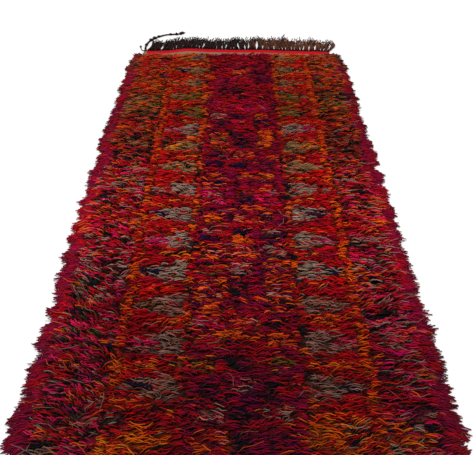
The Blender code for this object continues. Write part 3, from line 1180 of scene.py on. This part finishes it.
winding = {"turns": 3.0, "thickness": 0.0048}  # the yarn round each knot


def smoothRoute(root, route, shares):  # a Catmull-Rom curve through the route's points
    points = np.array([(root.x + row["across"], root.y + row["out"]) for row in route])
    points = np.concatenate(([2 * points[0] - points[1]], points, [2 * points[-1] - points[-2]]))
    place = np.clip(shares, -0.02, 1.02) * (len(route) - 1)
    low = np.clip(np.floor(place).astype(int), 0, len(route) - 2)
    t = (place - low)[:, None]
    a, b, c, d = (points[low + step] for step in range(4))
    steady = 2 * b + (c - a) * t
    return 0.5 * (steady + (2 * a - 5 * b + 4 * c - d) * t ** 2 + (3 * b - a - 3 * c + d) * t ** 3)


def besideRoute(root, route, shares, sideways, height):  # points beside and above a route
    middle = smoothRoute(root, route, shares)
    ahead = smoothRoute(root, route, shares + 0.005) - smoothRoute(root, route, shares - 0.005)
    ahead /= np.linalg.norm(ahead, axis=-1, keepdims=True)
    return np.stack((
        middle[..., 0] - sideways * ahead[..., 1],
        middle[..., 1] + sideways * ahead[..., 0],
        np.maximum(height, 0.0030),
    ), axis=-1)


def plaitCurve(root, given, shares):
    order = np.arange(given["strands"])[:, None]
    turns, width = given["turns"], given["width"]
    turned = order * 2 * math.pi / given["strands"] + 2 * math.pi * turns * shares
    frayed = np.clip((shares - 0.9) / 0.1, 0, 1.2)
    lumps = 1 + 0.25 * np.sin(2 * math.pi * turns * 0.37 * shares)
    forked = given["fork"] * (order - (given["strands"] - 1) / 2) * frayed ** 1.5
    sideways = width * lumps * np.sin(turned) + forked
    height = given["lift"] + 0.4 * width * np.sin(2 * turned) * (1 - 0.6 * frayed)
    places = zip(sideways, height)
    return np.stack([besideRoute(root, given["route"], shares[0], *place) for place in places])


def knotCurve(root, given, shares):  # turns of yarn wound round a strand at each of its knots
    rows = []
    for number, knot in enumerate(given["knots"]):
        turned = 2 * math.pi * (winding["turns"] * shares[0] + 0.3 * number)
        along = knot["at"] + knot["reach"] * (shares[0] - 0.5)
        bulge = knot["radius"] * (0.72 + 0.4 * np.sin(math.pi * np.clip(shares[0], 0, 1)))
        height = given["lift"] + 0.7 * bulge * np.sin(turned)
        rows.append(besideRoute(root, given["route"], along, bulge * np.cos(turned), height))
    return np.stack(rows)


def buildCornerStrand(name, given, dice, material):
    root = edgePlace(given["inset"] - halfWeave, fringe["edgeDepth"] * given["rootDepth"], "far")
    dress = (material, "fringe_wool", ("fringe_far",))
    shape = evenShape(5, 0.003, 0.985, given["rings"])
    dyeAndPaintedShade = np.array([warpTone(-1, dice) * 1.25 for strand in range(given["strands"])])
    thickness = np.full(len(dyeAndPaintedShade), given["thickness"])
    layStrands(name, shape, partial(plaitCurve, root, given), thickness, dyeAndPaintedShade, 0.1, dress, longer=20.0)
    shape = evenShape(4, 0.02, 0.98, 30)
    dyeAndPaintedShade = np.array([warpTone(-1, dice) * 1.5 for knot in given["knots"]])
    thickness = np.full(len(dyeAndPaintedShade), winding["thickness"])
    curve = partial(knotCurve, root, given)
    layStrands(name + "_knots", shape, curve, thickness, dyeAndPaintedShade, 0.0, dress, longer=20.0)


def buildBraid(material):
    dice = np.random.default_rng(15)
    buildCornerStrand("corner_braid", braid, dice, material)
    buildCornerStrand("corner_strand", looseStrand, dice, material)
    print("corner braid and loose strand")


# Materials
yarnTwist = buildYarnGroup()
pileWool = yarnMaterial("pileWool", turns=5.0, rootShade=0.22)
fringeWool = yarnMaterial("fringeWool", turns=9.0, rootShade=0.75)
flatWeave = weaveMaterial()
print("materials")

buildBed(pileWool)
groundWeave = buildWeave(flatWeave)
buildPile(pileWool)
buildFringe("far", 13, fringeWool)
buildFringe("near", 14, fringeWool)
buildBraid(fringeWool)

# Plain pale floor, soft studio light and the photo's view
studio = {
    "floor": 9.0,
    "paint": {"Base Color": (0.97, 0.97, 0.97, 1), "Roughness": 0.9, "Specular IOR Level": 0.1},
    "cameraHeight": 1.553,
    "cameraBack": 2.330,
    "belowLevel": 36.95,
    "focalPixels": 660.0,
    "imageWidth": 473,
    "sun": 2.2,
    "sunAngle": 20,
    "sunTowards": (0.25, 0.30, -1.0),
    "world": 0.42,
}


def buildStudio():
    bm = bmesh.new()
    bmesh.ops.create_grid(bm, x_segments=1, y_segments=1, size=studio["floor"])
    floor = linkObject("floor", meshFrom(bm, "floor"))
    floor.data.materials.append(newMaterial("floorPaint", studio["paint"])[0])

    world = bpy.data.worlds.new("studioWorld")
    world.use_nodes = True
    background = world.node_tree.nodes["Background"]
    background.inputs["Color"].default_value = (1, 1, 1, 1)
    background.inputs["Strength"].default_value = studio["world"]
    bpy.context.scene.world = world

    lamp = bpy.data.lights.new("softbox", "SUN")
    lamp.energy = studio["sun"]
    lamp.angle = math.radians(studio["sunAngle"])
    softbox = linkObject("softbox", lamp)
    softbox.rotation_euler = Vector(studio["sunTowards"]).to_track_quat("-Z", "Y").to_euler()

    lens = bpy.data.cameras.new("photoCamera")
    lens.sensor_width = 36.0
    lens.lens = studio["focalPixels"] / studio["imageWidth"] * lens.sensor_width
    camera = linkObject("photoCamera", lens)
    camera.location = (0.0, -studio["cameraBack"], studio["cameraHeight"])
    camera.rotation_euler = (math.radians(90 - studio["belowLevel"]), 0, 0)
    bpy.context.scene.camera = camera
    bpy.context.scene.view_settings.view_transform = "Standard"
    print("studio")


buildStudio()
